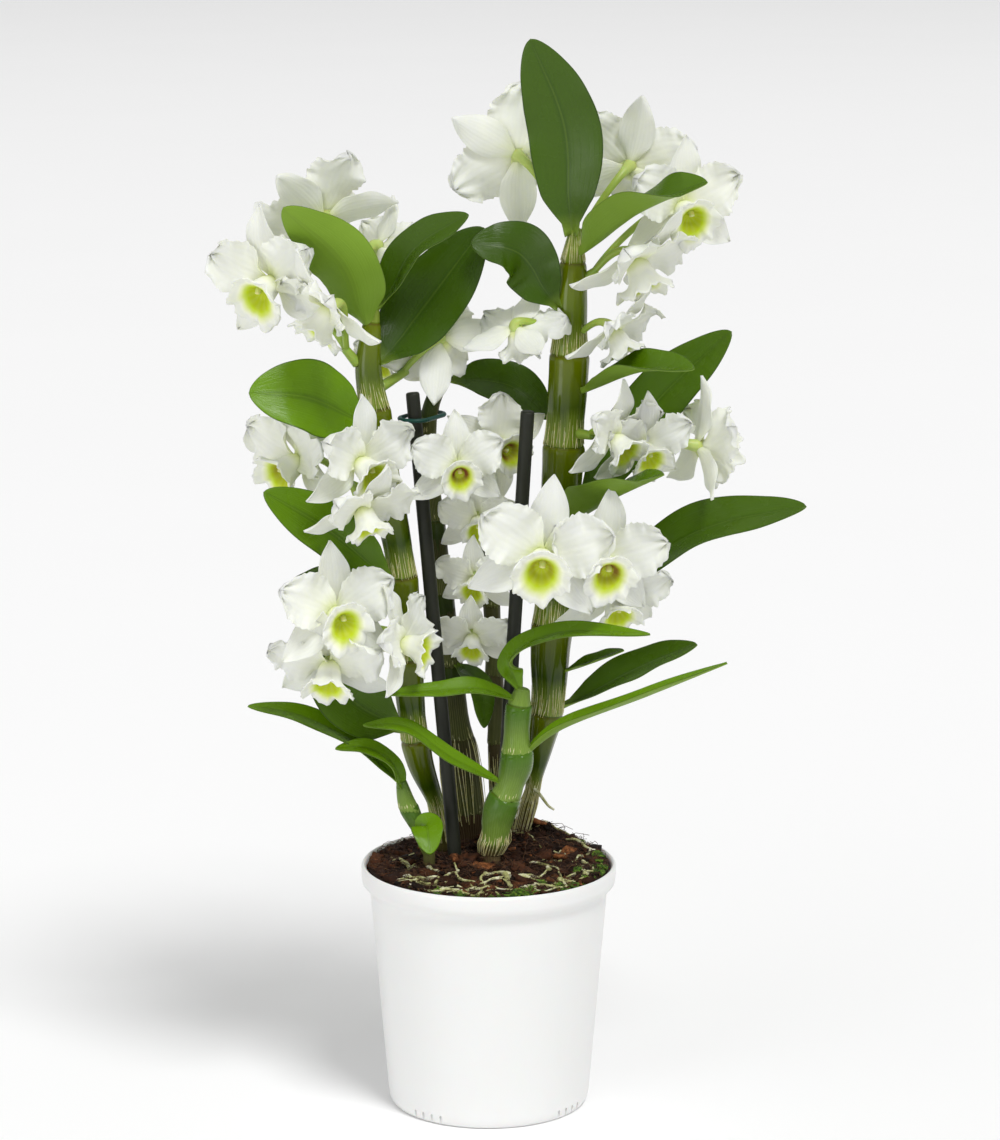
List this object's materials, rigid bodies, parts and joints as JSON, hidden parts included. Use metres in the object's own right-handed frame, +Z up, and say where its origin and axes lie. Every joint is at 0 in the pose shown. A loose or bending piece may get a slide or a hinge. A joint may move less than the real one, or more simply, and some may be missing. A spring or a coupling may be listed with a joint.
{
  "type": "dendrobium orchid in a pot",
  "caption": "White-flowered dendrobium orchid with leafy canes, staked in bark in a white plastic pot, blooming along its canes",
  "frame": {"origin": "centre of the pot's underside, on the surface the pot stands on", "axes": "+Z up along the pot's axis, -Y the front that the picture shows, +X to the viewer's right"},
  "size_m": [0.2729, 0.1209, 0.501],
  "materials": {
    "pot_plastic": "semi-gloss white",
    "bark_mix": "damp bark chips and coir",
    "stake_plastic": "satin near-black green",
    "clip_plastic": "coated wire, dark green",
    "cane": "glossy olive-green living stem",
    "old_cane": "dry striped sheath",
    "young_shoot": "satin light green",
    "leaf": "glossy green living leaf",
    "petal": "translucent white living petal"
  },
  "bodies": {
    "root": {"pot": "pot_plastic", "bark_mix": "bark_mix", "stake_left": "stake_plastic", "stake_right": "stake_plastic", "stake_clip": "clip_plastic", "cane_right": "cane", "cane_left": "cane", "cane_rear": "old_cane", "cane_rear_short": "old_cane", "shoot_front": "young_shoot", "shoot_left": "young_shoot", "leaf_right_crown": "leaf", "leaf_right_crown_side": "leaf", "leaf_right_crown_left": "leaf", "leaf_right_upper": "leaf", "leaf_right_rear": "leaf", "leaf_right_middle": "leaf", "leaf_right_long": "leaf", "leaf_right_low": "leaf", "leaf_right_low_small": "leaf", "leaf_left_crown": "leaf", "leaf_left_crown_dark": "leaf", "leaf_left_crown_right": "leaf", "leaf_left_upper": "leaf", "leaf_left_middle": "leaf", "leaf_left_middle_rear": "leaf", "leaf_left_low": "leaf", "leaf_rear_top": "leaf", "leaf_rear_low": "leaf", "spray_left_top": "petal", "bloom_left_top_inner": "petal", "spray_mid_top": "petal", "bloom_mid_top_right": "petal", "bloom_right_top_left": "petal", "bloom_right_top_rear": "petal", "spray_right_top": "petal", "bloom_right_top_low": "petal", "spray_right_mid": "petal", "spray_centre": "petal", "bloom_centre_middle": "petal", "bloom_centre_low": "petal", "bloom_centre_foot": "petal", "spray_front": "petal", "spray_left_mid": "petal", "spray_left_low": "petal"}
  },
  "joints": []
}
